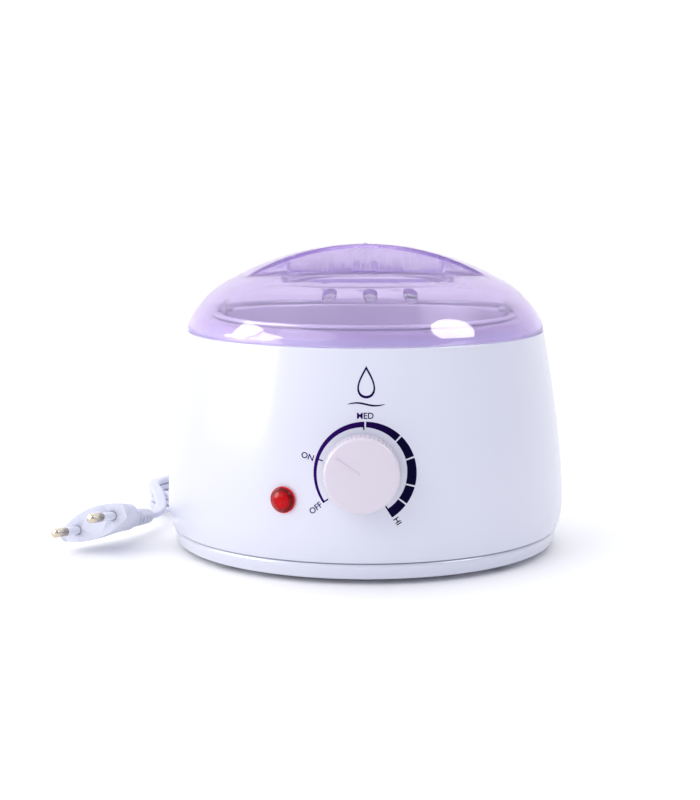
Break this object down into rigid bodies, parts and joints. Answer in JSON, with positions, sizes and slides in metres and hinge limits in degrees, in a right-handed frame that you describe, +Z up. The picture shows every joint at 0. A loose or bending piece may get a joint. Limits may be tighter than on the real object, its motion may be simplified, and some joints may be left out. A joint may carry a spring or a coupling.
{
  "type": "electric wax warmer pot",
  "caption": "Round countertop wax warmer with a leaning white housing, front dial and lamp, loose metal pot, violet finger-grip lid and two-pin lead.",
  "frame": {"origin": "on the table surface under the middle of the round housing, level with the undersides of the feet", "axes": "+Z up along the housing's own axis; -Y out of the front through the dial; +X to the right as seen from the front"},
  "size_m": [0.2205, 0.2719, 0.1329],
  "materials": {
    "white_gloss": "gloss moulded polypropylene",
    "white_satin": "satin moulded plastic",
    "violet_clear": "gloss translucent moulded plastic",
    "red_clear": "gloss translucent lens",
    "aluminium": "satin spun sheet",
    "steel": "zinc-plated",
    "brass": "plain",
    "nickel": "plated pin",
    "rubber": "matt",
    "silicone": "matt",
    "mica": "mica sheet over a wire element",
    "felt": "glass-fibre felt",
    "ceramic": "steatite",
    "nylon": "natural nylon",
    "neon_glass": "clear",
    "brown_wire": "insulation",
    "blue_wire": "insulation",
    "cord_white": "soft extruded",
    "plug_white": "moulded",
    "black_plastic": "matt"
  },
  "bodies": {
    "housing": {"outer_housing": "white_gloss", "collar_ring": "white_satin", "base_plate": "white_gloss", "base_feet": "rubber", "base_screws": "steel", "heater_bowl": "aluminium", "bowl_gasket": "silicone", "heating_band": "mica", "band_clamp": "steel", "band_clamp_screw": "steel", "insulation_sleeve": "felt", "bowl_brackets": "steel", "bracket_screws": "steel", "thermostat_bracket": "steel", "thermostat_body": "ceramic", "thermostat_terminals": "brass", "thermostat_nut": "steel", "indicator_lens": "red_clear", "lamp_clip": "steel", "neon_lamp": "neon_glass", "terminal_block": "nylon", "terminal_screws": "brass", "thermal_fuse": "nickel", "wire_brown_in": "brown_wire", "wire_blue_in": "blue_wire", "wire_thermostat": "brown_wire", "wire_lamp": "blue_wire", "cord_clamp": "nylon", "cord_clamp_screws": "steel", "cord_strain_relief": "cord_white", "cord_lead": "cord_white", "cord_hank": "cord_white", "cord_tail": "cord_white", "cord_tie": "white_satin", "plug_body": "plug_white", "plug_pins": "nickel", "pin_sleeves": "plug_white", "plug_strain_relief": "plug_white"},
    "knob": {"control_knob": "white_gloss", "thermostat_shaft": "steel"},
    "pot": {"inner_pot": "aluminium", "pot_ears": "steel", "ear_rivets": "steel"},
    "bail": {"bail_handle": "steel", "bail_grip": "white_satin"},
    "lid": {"lid": "violet_clear"}
  },
  "joints": [
    {"name": "knob_turn", "type": "hinge", "parent": "housing", "child": "knob", "pos_m": [-0.0013, -0.08595, 0.0467], "axis": [0, -0.9982, 0.0593], "range_deg": [-204, 68.5]},
    {"name": "pot_lift", "type": "slide", "parent": "housing", "child": "pot", "axis": [0, 0, 1], "range_m": [0, 0.09]},
    {"name": "lid_lift", "type": "slide", "parent": "pot", "child": "lid", "axis": [0, 0, 1], "range_m": [0, 0.12]},
    {"name": "bail_swing", "type": "hinge", "parent": "pot", "child": "bail", "pos_m": [0, 0, 0.104], "axis": [1, 0, 0], "range_deg": [0, 90]}
  ],
  "couplings": [
    {"joint": "bail_swing", "follows": "lid_lift", "rad_per_m": 13}
  ]
}
